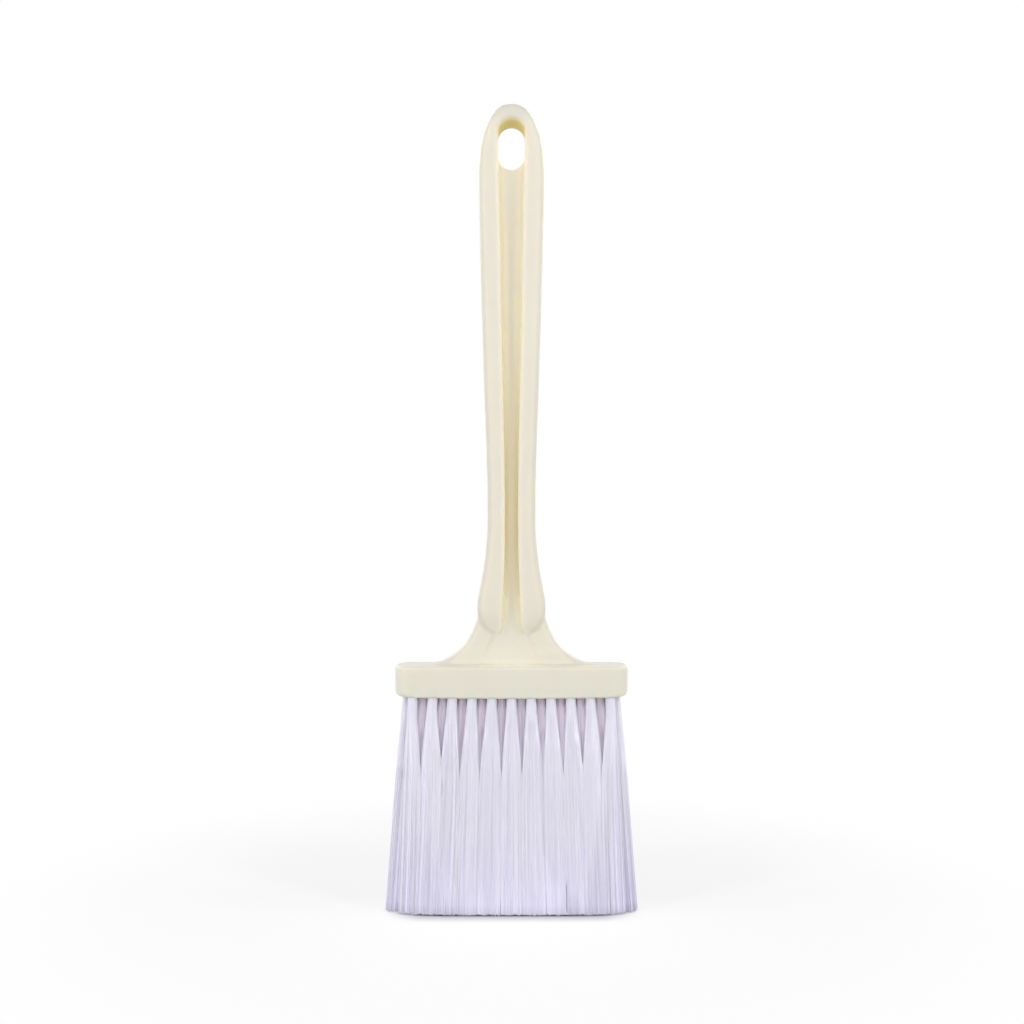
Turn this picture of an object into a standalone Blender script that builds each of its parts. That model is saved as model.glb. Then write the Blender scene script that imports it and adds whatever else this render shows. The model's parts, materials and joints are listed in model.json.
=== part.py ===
"""A cleaning brush that stands upright on the tips of its bristles.

The handle and the head block are one moulding in ivory plastic. The handle is an I-beam: a rail down each
side, joined by an arch over a hanging slot, with a thin web set between them. The head block has three
staggered rows of blind holes in its underside. Each hole holds one tuft of filaments, folded over a flat
metal anchor.

Metres, +X to the right, the front faces -Y, +Z up. The origin is on the ground, under the middle.
"""

import math

import bmesh
import bpy
from mathutils import Vector

# Ground to handle, from the bottom up
BRISTLE_LENGTH = 0.0697  # ground to the underside of the head block, at its middle
BLOCK_HEIGHT = 0.0106
HANDLE_LENGTH = 0.1848  # top of the head block to the top of the handle

# Head block
BLOCK_WIDTH = 0.0767
BLOCK_DEPTH = 0.0155
BLOCK_CORNER = 0.0056  # radius of its corners, seen from above
BLOCK_TOP_ROUND = 0.0012  # radius along its upper edge
BLOCK_LOWER_ROUND = 0.0021  # the outer holes break into this one
BLOCK_CROWN = 0.0005  # how much higher its underside is at the ends than at the middle

# Rails and arch
HANDLE_THICKNESS = 0.0130
RAIL_ROUND = 0.0019
GRIP_WIDTH = 0.0217  # over both rails, at the widest place of the grip
WAIST_WIDTH = 0.0158
BULGE_WIDTH = 0.0225  # just above the rails' lower ends
ARCH_SQUARENESS = 2.3  # 2 makes the handle's top a plain ellipse, more makes it squarer
TIP_HEIGHT = 0.0103  # top of the block to the point of each rail
TIP_LENGTH = 0.0089  # the stretch in which a rail narrows to its point
TIP_REACH = 0.00545  # the points' distance from the middle
TIP_BLUNT = 0.0011  # what is left of a rail's width at its point
TIP_OUTER_BEND = 2.4  # how late a rail's outer side turns in towards the point
TIP_INNER_BEND = 7.0
TIP_DROP = 0.0009  # how much each face of a rail falls towards its point

# Web and slot
WEB_THICKNESS = 0.0044
SLOT_WIDTH = 0.0089
SLOT_HEIGHT = 0.0157
SLOT_BRIDGE = 0.0055  # solid plastic over the slot
SLOT_DIP = 0.0056  # height of the slot's rounded lower end
GROOVE_WAIST_WIDTH = 0.0042
GROOVE_FOOT_WIDTH = 0.0064

# Foot, which flares out on to the block
FOOT_THICKNESS = 0.0080
FOOT_ROUND = 0.0024
FOOT_HEIGHT = 0.0225  # its upper end is hidden between the rails
FLARE_RADIUS = 0.0203
FLARE_REACH = 0.0312  # from the middle to where the flare would run out level
FLARE_SINK = 0.0005  # how far below the top of the block it would do so
FLARE_LEAN = math.radians(20.3)  # of the foot's straight side, above the flare
PANEL_TOP_WIDTH = 0.0074
PANEL_TIP_WIDTH = 0.0110
PANEL_BASE_WIDTH = 0.0214
PANEL_TOP_THICKNESS = 0.0040
PANEL_BASE_THICKNESS = 0.0072

# Tufts
OUTER_ROW_TUFTS = 11  # in the front row and in the rear one. The middle row has one more
ROW_MARGIN = 0.00245  # face of the block to the middle of an outer row
TUFT_DIAMETER = 0.0033
OUTER_ROW_MARGIN = 0.0060  # end of the block to the middle of an outer row's last tuft
MIDDLE_ROW_MARGIN = 0.0040
FIELD_WIDTH = 0.0833  # over the bristle tips
FIELD_DEPTH = 0.0240
OUTER_ROW_INSET = 0.0045  # how much less far the outer rows' tips reach at each end
STRAND_ROOT_RADIUS = 0.00033
STRAND_TIP_RADIUS = 0.00064
STRAND_SINK = 0.0006  # how far a strand runs into the packed root
ROOT_PROUD = 0.0008  # how far the packed root stands out of its hole

# Holes and anchors
HOLE_DEPTH = 0.0070
ANCHOR_THICKNESS = 0.0004
ANCHOR_HEIGHT = 0.0018
ANCHOR_BITE = 0.0004  # how far each end runs into the wall of the hole
LOOP_THICKNESS = 0.0012  # filament over the anchor
CLEARANCE = 0.0003
OVERRUN = 0.0020  # how far a cutter runs past what it cuts, and a joined piece into its neighbour

# How far the outline has gone from the waist's width to the bulge's or the grip's,
# at shares of the handle's length from its foot
WAIST_TO_BULGE_SHARES = (
    (0.100, 1.00), (0.113, 0.97), (0.132, 0.79), (0.150, 0.60), (0.176, 0.36), (0.203, 0.17),
)
WAIST_TO_GRIP_SHARES = (
    (0.250, 0.00), (0.300, 0.00), (0.380, 0.11), (0.470, 0.32), (0.560, 0.50), (0.736, 0.82), (0.870, 1.00),
)
# The same for the groove between the rails, from its width at the waist to those at the foot and the slot
WAIST_TO_FOOT_SHARES = (
    (0.050, 1.00), (0.080, 0.98), (0.116, 0.66), (0.151, 0.40), (0.204, 0.08),
)
WAIST_TO_SLOT_SHARES = (
    (0.290, 0.00), (0.379, 0.09), (0.467, 0.22), (0.555, 0.40), (0.730, 0.62), (0.850, 0.84), (0.900, 1.00),
)
MIDDLE_SPREAD_SHARE = 1.175  # a tuft's width at its tips, in places between tufts, at the middle of a row
STRAND_CELL_SHARE = 0.19  # a strand's end takes no more than this share of half its tuft's width
# The strands of a tuft stand in rings: how many in each, and its radius as a share of the tuft's
STRAND_RING_SHARES = ((1, 0.0), (4, 0.41), (8, 0.76))
CELL_SQUARENESS = 0.55  # 0 fans a tuft out to an ellipse, 1 to a rectangle
MOST_ROUND_SHARE = 0.46  # a rounded corner takes no more than this share of a side

RAIL_STATIONS = 26
TIP_STATIONS = 6
ARCH_STATIONS = 12
ROUND_STEPS = 3
BLOCK_ROUND_STEPS = 4
FLARE_STEPS = 12
CORNER_STEPS = 5
BLOCK_STATIONS = 12
HOLE_SIDES = 14
STRAND_SIDES = 3
STRAND_TURN = math.radians(47)  # each strand is turned by this much against the one before

BLOCK_TOP = BRISTLE_LENGTH + BLOCK_HEIGHT
HANDLE_TOP = BLOCK_TOP + HANDLE_LENGTH
GRIP_HEIGHT = BLOCK_TOP + WAIST_TO_GRIP_SHARES[-1][0] * HANDLE_LENGTH
SLOT_TOP = HANDLE_TOP - SLOT_BRIDGE
SLOT_BOTTOM = SLOT_TOP - SLOT_HEIGHT
TIP_BOTTOM = BLOCK_TOP + TIP_HEIGHT
ROW_SPACING = BLOCK_DEPTH / 2 - ROW_MARGIN

IVORY = (0.800, 0.752, 0.622, 1.0)
LAVENDER = (0.752, 0.722, 0.865, 1.0)
STEEL = (0.560, 0.550, 0.520, 1.0)
IVORY_ROUGHNESS = 0.42
LAVENDER_ROUGHNESS = 0.50
STEEL_ROUGHNESS = 0.35


def clear_scene():
    for thing in list(bpy.data.objects):
        bpy.data.objects.remove(thing, do_unlink=True)


def make_material(name, colour, roughness, metallic):
    material = bpy.data.materials.new(name)
    material.use_nodes = True
    shader = material.node_tree.nodes["Principled BSDF"]
    shader.inputs["Base Color"].default_value = colour
    shader.inputs["Roughness"].default_value = roughness
    shader.inputs["Metallic"].default_value = metallic
    material.diffuse_color = colour
    return material


def between(low, high, share):
    return low + (high - low) * share


def smooth_curve(points, place):
    """The value at a place on a smooth curve through (place, value) points. It is level at both ends."""
    if place <= points[0][0]:
        return points[0][1]
    if place >= points[-1][0]:
        return points[-1][1]
    rises = [(b[1] - a[1]) / (b[0] - a[0]) for a, b in zip(points, points[1:])]
    slopes = [0.0]
    for before, after in zip(rises, rises[1:]):
        slopes.append(2 * before * after / (before + after) if before * after > 0 else 0.0)
    slopes.append(0.0)
    index = max(i for i in range(len(rises)) if points[i][0] <= place)
    (start, low), (end, high) = points[index], points[index + 1]
    run = end - start
    t = (place - start) / run
    return (
        low * (1 + 2 * t) * (1 - t) ** 2
        + high * t * t * (3 - 2 * t)
        + run * slopes[index] * t * (1 - t) ** 2
        - run * slopes[index + 1] * t * t * (1 - t)
    )


def new_object(name, mesh, material=None):
    thing = bpy.data.objects.new(name, mesh)
    bpy.context.scene.collection.objects.link(thing)
    if material:
        mesh.materials.append(material)
    return thing


def finish_mesh(name, bm):
    """Turns a bmesh into a mesh whose faces point out."""
    bmesh.ops.recalc_face_normals(bm, faces=bm.faces)
    mesh = bpy.data.meshes.new(name)
    bm.to_mesh(mesh)
    bm.free()
    return mesh


def add_loft(bm, rings):
    """Joins rings of points, each with as many points, and closes both ends."""
    rows = [[bm.verts.new(point) for point in ring] for ring in rings]
    for lower, upper in zip(rows, rows[1:]):
        for i in range(len(lower)):
            j = (i + 1) % len(lower)
            bm.faces.new((lower[i], lower[j], upper[j], upper[i]))
    bm.faces.new(rows[0])
    bm.faces.new(rows[-1])


def slab(name, outline, half_thickness):
    """A plate across Y from an outline of (x, z) points."""
    bm = bmesh.new()
    add_loft(bm, [[Vector((x, y, z)) for x, z in outline] for y in (-half_thickness, half_thickness)])
    return finish_mesh(name, bm)


def join_or_cut(target, operation, mesh):
    """Joins a mesh to an object, or cuts it out of the object, and keeps only the result."""
    helper = new_object(mesh.name + "_helper", mesh)
    helper.hide_render = True
    helper.display_type = "WIRE"
    modifier = target.modifiers.new(mesh.name, "BOOLEAN")
    modifier.operation = operation
    modifier.solver = "EXACT"
    modifier.object = helper
    graph = bpy.context.evaluated_depsgraph_get()
    result = bpy.data.meshes.new_from_object(target.evaluated_get(graph))
    target.modifiers.clear()
    old = target.data
    result.name = old.name
    target.data = result
    bpy.data.meshes.remove(old)
    bpy.data.objects.remove(helper, do_unlink=True)
    bpy.data.meshes.remove(mesh)


def shade(thing):
    thing.data.shade_smooth()
    thing.data.set_sharp_from_angle(angle=math.radians(30))


# The handle's outline

def waist_curve(waist, lower, lower_shares, upper, upper_shares):
    """Half widths up the handle, from those at its foot, its waist and its grip."""
    points = [(share, between(waist, lower, gone) / 2) for share, gone in lower_shares]
    points += [(share, between(waist, upper, gone) / 2) for share, gone in upper_shares]
    return [(BLOCK_TOP + share * HANDLE_LENGTH, half) for share, half in points]


OUTER_CURVE = waist_curve(WAIST_WIDTH, BULGE_WIDTH, WAIST_TO_BULGE_SHARES, GRIP_WIDTH, WAIST_TO_GRIP_SHARES)
GROOVE_CURVE = waist_curve(
    GROOVE_WAIST_WIDTH, GROOVE_FOOT_WIDTH, WAIST_TO_FOOT_SHARES, SLOT_WIDTH, WAIST_TO_SLOT_SHARES
)


def outer_half_width(height):
    """Half the width over the rails. Above the grip the outline is half of a squared ellipse."""
    if height < GRIP_HEIGHT:
        return smooth_curve(OUTER_CURVE, height)
    rise = min(1.0, (height - GRIP_HEIGHT) / (HANDLE_TOP - GRIP_HEIGHT))
    return GRIP_WIDTH / 2 * (1 - rise**ARCH_SQUARENESS) ** (1 / ARCH_SQUARENESS)


def bar_section(outer, inner, half_thickness, radius):
    """One section of a bar: a rounded rectangle from its outer edge to its inner one, both (x, z)."""
    outer, inner = Vector(outer), Vector(inner)
    middle, across = (outer + inner) / 2, (outer - inner).normalized()
    half_width = (outer - inner).length / 2
    radius = min(radius, 2 * MOST_ROUND_SHARE * half_width)
    ring = []
    for corner, (side, face) in enumerate(((1, 1), (-1, 1), (-1, -1), (1, -1))):
        for step in range(ROUND_STEPS + 1):
            angle = (corner + step / ROUND_STEPS) * math.pi / 2
            along = side * (half_width - radius) + radius * math.cos(angle)
            depth = face * (half_thickness - radius) + radius * math.sin(angle)
            place = middle + across * along
            ring.append(Vector((place.x, depth, place.y)))
    return ring


def left_rail_stations():
    """(outer, inner, half thickness) up the left rail, from its point to the foot of the arch."""
    stations = []
    tip_top = TIP_BOTTOM + TIP_LENGTH
    for step in range(TIP_STATIONS):
        gone = 1 - step / TIP_STATIONS
        height = tip_top - TIP_LENGTH * gone
        outer = between(outer_half_width(tip_top), TIP_REACH + TIP_BLUNT / 2, gone**TIP_OUTER_BEND)
        inner = between(smooth_curve(GROOVE_CURVE, height), TIP_REACH - TIP_BLUNT / 2, gone**TIP_INNER_BEND)
        half = HANDLE_THICKNESS / 2 - TIP_DROP * gone**2
        stations.append(((-outer, height), (-inner, height), half))
    arch_foot = SLOT_TOP - SLOT_WIDTH / 2
    for step in range(RAIL_STATIONS):
        height = between(tip_top, arch_foot, step / RAIL_STATIONS)
        outer = (-outer_half_width(height), height)
        inner = (-smooth_curve(GROOVE_CURVE, height), height)
        stations.append((outer, inner, HANDLE_THICKNESS / 2))
    return stations


def make_rails():
    """Both rails and the arch that joins them, as one bar bent over the slot."""
    left = left_rail_stations()
    arch = []
    arch_foot = SLOT_TOP - SLOT_WIDTH / 2
    for step in range(ARCH_STATIONS + 1):
        turn = math.pi * step / ARCH_STATIONS
        height = between(arch_foot, HANDLE_TOP, math.sin(turn))
        side = -math.copysign(1, math.cos(turn))
        outer = (side * outer_half_width(height), height)
        inner = (-SLOT_WIDTH / 2 * math.cos(turn), arch_foot + SLOT_WIDTH / 2 * math.sin(turn))
        arch.append((outer, inner, HANDLE_THICKNESS / 2))
    right = [((-ox, oz), (-ix, iz), half) for (ox, oz), (ix, iz), half in reversed(left)]
    bm = bmesh.new()
    add_loft(bm, [bar_section(*station, RAIL_ROUND) for station in left + arch + right])
    return finish_mesh("rails", bm)


def make_web():
    """The web between the rails. Its upper edge is the rounded bottom of the slot."""
    bottom = BLOCK_TOP + FOOT_HEIGHT - OVERRUN
    top = SLOT_BOTTOM + SLOT_DIP
    side = []
    for step in range(RAIL_STATIONS + 1):
        height = between(bottom, top, step / RAIL_STATIONS)
        side.append(((outer_half_width(height) + smooth_curve(GROOVE_CURVE, height)) / 2, height))
    dip = []
    for step in range(CORNER_STEPS * 2 + 1):
        turn = math.pi * step / (CORNER_STEPS * 2)
        half_width = SLOT_WIDTH / 2 + CLEARANCE
        dip.append((half_width * math.cos(turn), top - SLOT_DIP * math.sin(turn)))
    outline = side + dip + [(-x, z) for x, z in reversed(side)]
    return slab("web", outline, WEB_THICKNESS / 2)


def make_foot():
    """The foot: a plate with rounded edges, whose sides lean out and then flare on to the block."""
    centre_height = BLOCK_TOP - FLARE_SINK + FLARE_RADIUS
    sides = [(FLARE_REACH, BLOCK_TOP - OVERRUN)]
    for step in range(FLARE_STEPS + 1):
        turn = between(math.pi / 2, FLARE_LEAN, step / FLARE_STEPS)
        x = FLARE_REACH - FLARE_RADIUS * math.cos(turn)
        sides.append((x, centre_height - FLARE_RADIUS * math.sin(turn)))
    last_x, last_height = sides[-1]
    top = BLOCK_TOP + FOOT_HEIGHT
    sides.append((last_x - (top - last_height) * math.tan(FLARE_LEAN), top))
    bm = bmesh.new()
    add_loft(bm, [bar_section((x, z), (-x, z), FOOT_THICKNESS / 2, FOOT_ROUND) for x, z in sides])
    return finish_mesh("foot", bm)


def make_panel_cutter(face):
    """What sinks the foot's middle panel below its two flares, on the front (-1) or the back (1)."""
    top = BLOCK_TOP + FOOT_HEIGHT + OVERRUN
    far = FOOT_THICKNESS / 2 + OVERRUN
    rings = []
    levels = ((top, PANEL_TOP_WIDTH), (TIP_BOTTOM, PANEL_TIP_WIDTH), (BLOCK_TOP, PANEL_BASE_WIDTH))
    for height, width in levels:
        share = (height - BLOCK_TOP) / (top - BLOCK_TOP)
        near = between(PANEL_BASE_THICKNESS, PANEL_TOP_THICKNESS, share) / 2
        corners = ((-width / 2, near), (width / 2, near), (width / 2, far), (-width / 2, far))
        rings.append([Vector((x, face * depth, height)) for x, depth in corners])
    bm = bmesh.new()
    add_loft(bm, rings)
    return finish_mesh("panel", bm)


# The head block

def underside(x):
    """Height of the block's underside, which is lowest at the middle."""
    return BRISTLE_LENGTH + BLOCK_CROWN * (2 * x / BLOCK_WIDTH) ** 2


def block_front(inset):
    """(x, y) points round the front half of the block seen from above, from its left end to its right."""
    radius = BLOCK_CORNER - inset
    run = BLOCK_WIDTH / 2 - BLOCK_CORNER
    depth = BLOCK_DEPTH / 2 - BLOCK_CORNER
    left = []
    for step in range(CORNER_STEPS + 1):
        turn = math.pi / 2 * step / CORNER_STEPS
        left.append((-run - radius * math.cos(turn), -depth - radius * math.sin(turn)))
    middle = [(between(-run, run, i / BLOCK_STATIONS), -depth - radius) for i in range(1, BLOCK_STATIONS)]
    return left + middle + [(-x, y) for x, y in reversed(left)]


def make_block():
    """The head block: rounded all over, with a crowned underside."""
    turns = [math.pi / 2 * step / BLOCK_ROUND_STEPS for step in range(BLOCK_ROUND_STEPS + 1)]
    bm = bmesh.new()
    rows = []
    for is_top, radius in ((False, BLOCK_LOWER_ROUND), (True, BLOCK_TOP_ROUND)):
        for turn in reversed(turns) if is_top else turns:
            inset, rise = radius * (1 - math.sin(turn)), radius * (1 - math.cos(turn))
            front = block_front(inset)
            back = [(x, -y) for x, y in reversed(front)]
            row = []
            for x, y in front + back:
                height = BLOCK_TOP - rise if is_top else underside(x) + rise
                row.append(bm.verts.new((x, y, height)))
            rows.append(row)
    count = len(rows[0])
    for lower, upper in zip(rows, rows[1:]):
        for i in range(count):
            j = (i + 1) % count
            bm.faces.new((lower[i], lower[j], upper[j], upper[i]))
    for row in (rows[0], rows[-1]):
        for i in range(count // 2 - 1):
            bm.faces.new((row[i], row[i + 1], row[-i - 2], row[-i - 1]))
    return finish_mesh("block", bm)


# Where the tufts stand

def outer_row():
    """Middles of the tufts of the front row or the rear one, along the block."""
    last = BLOCK_WIDTH / 2 - OUTER_ROW_MARGIN
    return [between(-last, last, i / (OUTER_ROW_TUFTS - 1)) for i in range(OUTER_ROW_TUFTS)]


def middle_row():
    """Middles of the middle row's tufts: one behind each gap of the front row, and one at each end."""
    outer = outer_row()
    last = BLOCK_WIDTH / 2 - MIDDLE_ROW_MARGIN
    return [-last] + [(a + b) / 2 for a, b in zip(outer, outer[1:])] + [last]


def cell_edges(places, half_field):
    """Where one tuft's share of the bristle tips ends and the next one's starts.

    The tufts fan out most at the middle of their row.
    """
    last = places[-1] + TUFT_DIAMETER / 2
    edges = [-last] + [(a + b) / 2 for a, b in zip(places, places[1:])] + [last]
    return [x * between(MIDDLE_SPREAD_SHARE, half_field / last, (x / last) ** 2) for x in edges]


def layout_tufts():
    """Every tuft: its name, row, mouth of its hole, middle of its tips, and half the size of its cell."""
    outer_field = FIELD_WIDTH / 2 - OUTER_ROW_INSET
    rows = (
        ("front", -1, outer_row(), outer_field),
        ("middle", 0, middle_row(), FIELD_WIDTH / 2),
        ("rear", 1, outer_row(), outer_field),
    )
    cell_depth = FIELD_DEPTH / len(rows)
    tufts = []
    for row, side, places, half_field in rows:
        edges = cell_edges(places, half_field)
        for i, x in enumerate(places):
            low, high = edges[i], edges[i + 1]
            tufts.append({
                "name": f"{row}_{i + 1:02d}",
                "row": row,
                "at_end": i in (0, len(places) - 1),
                "mouth": Vector((x, side * ROW_SPACING, underside(x))),
                "tips": Vector(((low + high) / 2, side * cell_depth, 0.0)),
                "cell": ((high - low) / 2, cell_depth / 2),
            })
    return tufts


def tuft_axes(tuft):
    """Unit vectors down the tuft, along its anchor, and across both.

    An anchor lies along the block, but across it at the ends of the middle row, where the tufts are close.
    """
    down = (tuft["tips"] - tuft["mouth"]).normalized()
    along = Vector((0, 1, 0)) if tuft["row"] == "middle" and tuft["at_end"] else Vector((1, 0, 0))
    along = (along - down * along.dot(down)).normalized()
    return down, along, down.cross(along)


def add_box(bm, middle, axes, halves):
    """A box round a middle point, with half its size along each of three axes."""
    a, b, c = (axis * half for axis, half in zip(axes, halves))
    corners = ((-1, -1), (1, -1), (1, 1), (-1, 1))
    add_loft(bm, [[middle + end * a + p * b + q * c for p, q in corners] for end in (-1, 1)])


def add_rod(bm, tuft, radius, below, above):
    """A round rod in the hole's direction, from below the hole's mouth to above it."""
    down, along, across = tuft_axes(tuft)
    rings = []
    for reach in (below, -above):
        middle = tuft["mouth"] + down * reach
        ring = []
        for i in range(HOLE_SIDES):
            turn = 2 * math.pi * i / HOLE_SIDES
            ring.append(middle + radius * (math.cos(turn) * along + math.sin(turn) * across))
        rings.append(ring)
    add_loft(bm, rings)


def anchor_middle(tuft):
    """Middle of the anchor, which lies across the hole under the folded filaments."""
    down = tuft_axes(tuft)[0]
    depth = HOLE_DEPTH - CLEARANCE - LOOP_THICKNESS - CLEARANCE - ANCHOR_HEIGHT / 2
    return tuft["mouth"] - down * depth


def anchor_halves(gap):
    """Half the anchor's height, length and thickness, each grown by a gap."""
    length = TUFT_DIAMETER + 2 * CLEARANCE + 2 * ANCHOR_BITE
    return ANCHOR_HEIGHT / 2 + gap, length / 2 + gap, ANCHOR_THICKNESS / 2 + gap


def make_panelled_foot():
    """The foot with its two middle panels sunk."""
    foot = new_object("foot_helper", make_foot())
    for face in (-1, 1):
        join_or_cut(foot, "DIFFERENCE", make_panel_cutter(face))
    mesh = foot.data.copy()
    bpy.data.objects.remove(foot, do_unlink=True)
    return mesh


def make_handle_and_head(tufts, material):
    """The one moulding: rails, web, foot and block joined, then the panels, holes and pockets cut."""
    handle = new_object("handle_and_head", make_block(), material)
    join_or_cut(handle, "UNION", make_panelled_foot())
    join_or_cut(handle, "UNION", make_web())
    join_or_cut(handle, "UNION", make_rails())
    holes = bmesh.new()
    pockets = bmesh.new()
    for tuft in tufts:
        add_rod(holes, tuft, TUFT_DIAMETER / 2 + CLEARANCE, OVERRUN, HOLE_DEPTH)
        add_box(pockets, anchor_middle(tuft), tuft_axes(tuft), anchor_halves(CLEARANCE))
    join_or_cut(handle, "DIFFERENCE", finish_mesh("holes", holes))
    join_or_cut(handle, "DIFFERENCE", finish_mesh("pockets", pockets))
    shade(handle)


# Tufts and anchors

def tip_radius(cell):
    """Radius of a strand's end in a tuft's cell."""
    return min(STRAND_TIP_RADIUS, STRAND_CELL_SHARE * min(cell))


def fan_out(turn, share, cell):
    """Where a strand that stands at a turn and a share of the tuft's radius ends in the tuft's cell."""
    x, y = math.cos(turn), math.sin(turn)
    stretch = max(abs(x), abs(y)) ** -CELL_SQUARENESS
    margin = tip_radius(cell) + CLEARANCE / 2
    outermost = STRAND_RING_SHARES[-1][1]
    reach_x, reach_y = (half - margin for half in cell)
    x = max(-1.0, min(1.0, x * stretch)) * reach_x
    y = max(-1.0, min(1.0, y * stretch)) * reach_y
    return Vector((x, y, 0.0)) * share / outermost


def strand_ring(middle, radius, turn):
    """The level section of a strand."""
    ring = []
    for i in range(STRAND_SIDES):
        angle = turn + 2 * math.pi * i / STRAND_SIDES
        ring.append(middle + Vector((radius * math.cos(angle), radius * math.sin(angle), 0.0)))
    return ring


def make_strands(tuft):
    """The strands of one tuft. Each runs straight from the packed root to its own place among the tips."""
    root = tuft["mouth"] + tuft_axes(tuft)[0] * (ROOT_PROUD - STRAND_SINK)
    bm = bmesh.new()
    number = 0
    for count, share in STRAND_RING_SHARES:
        for i in range(count):
            turn = 2 * math.pi * (i + 0.5) / count
            reach = share * TUFT_DIAMETER / 2
            start = root + Vector((reach * math.cos(turn), reach * math.sin(turn), 0.0))
            end = tuft["tips"] + fan_out(turn, share, tuft["cell"])
            twist = number * STRAND_TURN
            add_loft(bm, [
                strand_ring(start, STRAND_ROOT_RADIUS, twist),
                strand_ring(end, tip_radius(tuft["cell"]), twist),
            ])
            number += 1
    return finish_mesh("strands", bm)


def anchor_mesh(tuft):
    """A flat metal anchor, with both ends in the wall of the hole."""
    bm = bmesh.new()
    add_box(bm, anchor_middle(tuft), tuft_axes(tuft), anchor_halves(0.0))
    return finish_mesh("anchor", bm)


def make_tuft(tuft, material):
    """A tuft: its packed root, with the slot that the anchor passes through, and the strands below it.

    The anchors of the middle row are joined to their tufts, so their tufts have no slot.
    """
    bm = bmesh.new()
    add_rod(bm, tuft, TUFT_DIAMETER / 2, ROOT_PROUD, HOLE_DEPTH - CLEARANCE)
    thing = new_object("tuft_" + tuft["name"], finish_mesh("tuft_" + tuft["name"], bm), material)
    if tuft["row"] == "middle":
        join_or_cut(thing, "UNION", anchor_mesh(tuft))
    else:
        slot = bmesh.new()
        height, length, thickness = anchor_halves(CLEARANCE)
        add_box(slot, anchor_middle(tuft), tuft_axes(tuft), (height, length + OVERRUN, thickness))
        join_or_cut(thing, "DIFFERENCE", finish_mesh("slot", slot))
    join_or_cut(thing, "UNION", make_strands(tuft))
    place_at(thing, tuft["mouth"])
    shade(thing)


def make_anchor(tuft, material):
    thing = new_object("anchor_" + tuft["name"], anchor_mesh(tuft), material)
    place_at(thing, anchor_middle(tuft))


def place_at(thing, point):
    """Moves an object's origin to a point and leaves its shape where it is."""
    for vertex in thing.data.vertices:
        vertex.co -= point
    thing.location = point


def main():
    clear_scene()
    ivory = make_material("ivory_plastic", IVORY, IVORY_ROUGHNESS, 0.0)
    lavender = make_material("lavender_filament", LAVENDER, LAVENDER_ROUGHNESS, 0.0)
    steel = make_material("anchor_steel", STEEL, STEEL_ROUGHNESS, 1.0)
    tufts = layout_tufts()
    make_handle_and_head(tufts, ivory)
    for tuft in tufts:
        make_tuft(tuft, lavender)
        if tuft["row"] != "middle":
            make_anchor(tuft, steel)


main()
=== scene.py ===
"""Looks of the cleaning brush: its moulded handle and head, bristles, floor, lamps and camera.

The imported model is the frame. Metres, +X to the right, the front faces -Y, +Z up.
"""

import json
import math

import bpy
import numpy as np
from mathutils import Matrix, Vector

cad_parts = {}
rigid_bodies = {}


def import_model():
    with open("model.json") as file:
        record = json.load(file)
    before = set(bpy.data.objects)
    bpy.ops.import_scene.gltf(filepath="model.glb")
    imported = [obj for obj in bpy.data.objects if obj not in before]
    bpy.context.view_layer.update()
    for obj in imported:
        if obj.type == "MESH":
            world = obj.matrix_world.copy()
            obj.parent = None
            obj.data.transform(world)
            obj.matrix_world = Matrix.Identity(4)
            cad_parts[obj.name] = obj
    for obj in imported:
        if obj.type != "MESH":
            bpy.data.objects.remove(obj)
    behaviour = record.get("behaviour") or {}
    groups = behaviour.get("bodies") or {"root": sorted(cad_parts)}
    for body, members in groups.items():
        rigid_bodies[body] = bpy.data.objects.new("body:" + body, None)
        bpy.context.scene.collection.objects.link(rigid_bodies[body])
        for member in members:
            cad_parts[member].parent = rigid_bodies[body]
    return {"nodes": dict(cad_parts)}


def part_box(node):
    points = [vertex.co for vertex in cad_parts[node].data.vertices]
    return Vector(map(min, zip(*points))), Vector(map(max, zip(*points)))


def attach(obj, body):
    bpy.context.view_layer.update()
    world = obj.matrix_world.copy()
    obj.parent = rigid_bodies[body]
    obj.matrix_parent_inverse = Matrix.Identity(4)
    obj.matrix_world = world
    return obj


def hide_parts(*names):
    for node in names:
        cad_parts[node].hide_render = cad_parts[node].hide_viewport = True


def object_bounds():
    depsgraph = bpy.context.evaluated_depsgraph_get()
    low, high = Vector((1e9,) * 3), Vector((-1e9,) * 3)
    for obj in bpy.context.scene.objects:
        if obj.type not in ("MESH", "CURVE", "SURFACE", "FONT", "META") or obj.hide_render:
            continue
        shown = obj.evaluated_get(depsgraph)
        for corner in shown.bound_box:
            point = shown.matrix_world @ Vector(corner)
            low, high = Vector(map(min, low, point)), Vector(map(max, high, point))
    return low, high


HANDLE = "handle_and_head"
SEED = 11

# Camera, at the photograph's viewing angle
CAMERA_DISTANCE = 0.450
CAMERA_HEIGHT = 0.1308
CAMERA_SIDE = 0.00017
FRAME_WIDTH = 0.340  # what the photograph's frame takes in at the brush
SENSOR_WIDTH = 0.036
MILLIMETRES = 1000
CAMERA_CLIP = (0.01, 20.0)

# Head block
BLOCK_HEIGHT = 0.0106
BLOCK_CORNER = 0.0056
BLOCK_TOP_ROUND = 0.0012
BLOCK_END_ROUND = 0.0021  # of its lower edge at the ends
BLOCK_FRONT_ROUND = 0.0008  # and along the front and back, where the holes come near the edge
BLOCK_CROWN = 0.0005

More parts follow.
